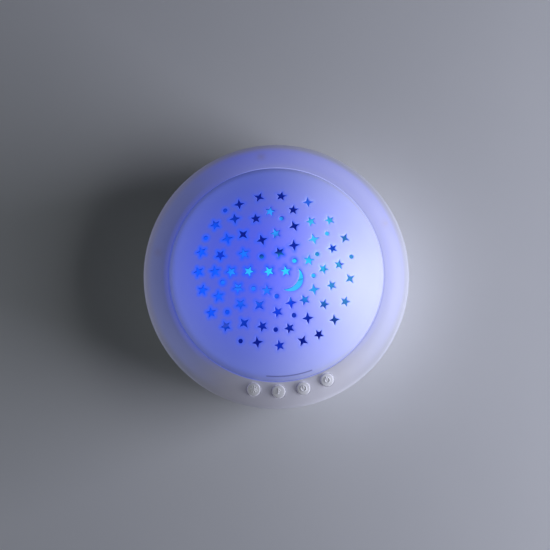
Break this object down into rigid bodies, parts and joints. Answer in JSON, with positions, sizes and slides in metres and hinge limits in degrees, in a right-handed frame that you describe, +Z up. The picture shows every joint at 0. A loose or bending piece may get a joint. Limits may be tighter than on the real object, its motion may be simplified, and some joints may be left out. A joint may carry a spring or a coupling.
{
  "type": "star night light projector",
  "caption": "Round table night light with a translucent dome pierced by stars and a moon, a lit shoulder ring with push buttons, and a battery-powered base with a speaker.",
  "frame": {"origin": "centre of the footprint, on the surface that the feet stand on", "axes": "+Z up; -Y towards the front, where the buttons are; +X to the right seen from the front"},
  "size_m": [0.13, 0.13, 0.0779],
  "materials": {
    "base_plastic": "satin",
    "ring_plastic": "satin, translucent",
    "dome_plastic": "satin, translucent",
    "button_plastic": "satin",
    "foot_rubber": "matte",
    "screw_steel": "zinc",
    "contact_nickel": "nickel",
    "gasket_foam": "foam",
    "speaker_steel": "satin",
    "speaker_paper": "paper",
    "magnet_steel": "zinc",
    "board_green": "solder mask",
    "board_white": "solder mask",
    "chip_black": "moulded",
    "capacitor_sleeve": "sleeve",
    "connector_nylon": "moulded",
    "tray_white": "reflective white",
    "lamp_lens": "clear lens, lit blue",
    "switch_black": "moulded",
    "plunger_nylon": "moulded",
    "lead_vinyl": "vinyl",
    "cell_wrap": "plain printed wrap"
  },
  "bodies": {
    "housing": {"base_shell": "base_plastic", "shoulder_ring": "ring_plastic", "star_dome": "dome_plastic", "housing_screws": "screw_steel", "dome_screws": "screw_steel", "battery_door_screw": "screw_steel", "speaker_screws": "screw_steel", "main_board_screws": "screw_steel", "tray_screws": "screw_steel", "button_board_screws": "screw_steel", "rubber_feet": "foot_rubber", "battery_door": "base_plastic", "spring_contacts": "contact_nickel", "plain_contacts": "contact_nickel", "speaker_gasket": "gasket_foam", "speaker_frame": "speaker_steel", "speaker_cone": "speaker_paper", "speaker_magnet": "magnet_steel", "main_board": "board_green", "control_chip": "chip_black", "capacitors": "capacitor_sleeve", "board_connectors": "connector_nylon", "led_board": "board_white", "light_tray": "tray_white", "star_lamp": "lamp_lens", "dome_lamps": "lamp_lens", "ring_lamps": "lamp_lens", "button_board": "board_green", "switch_bodies": "switch_black", "battery_lead": "lead_vinyl", "speaker_lead": "lead_vinyl", "lamp_lead": "lead_vinyl", "button_lead": "lead_vinyl", "battery_cell_1": "cell_wrap", "battery_cell_2": "cell_wrap", "battery_cell_3": "cell_wrap"},
    "light_key": {"button_light": "button_plastic", "plunger_light": "plunger_nylon"},
    "music_key": {"button_music": "button_plastic", "plunger_music": "plunger_nylon"},
    "timer_key": {"button_timer": "button_plastic", "plunger_timer": "plunger_nylon"},
    "power_key": {"button_power": "button_plastic", "plunger_power": "plunger_nylon"}
  },
  "joints": [
    {"name": "light_press", "type": "slide", "parent": "housing", "child": "light_key", "axis": [0, 0, -1], "range_m": [0, 0.0008], "stiffness_N_per_m": 1500},
    {"name": "music_press", "type": "slide", "parent": "housing", "child": "music_key", "axis": [0, 0, -1], "range_m": [0, 0.0008], "stiffness_N_per_m": 1500},
    {"name": "timer_press", "type": "slide", "parent": "housing", "child": "timer_key", "axis": [0, 0, -1], "range_m": [0, 0.0008], "stiffness_N_per_m": 1500},
    {"name": "power_press", "type": "slide", "parent": "housing", "child": "power_key", "axis": [0, 0, -1], "range_m": [0, 0.0008], "stiffness_N_per_m": 1500}
  ]
}
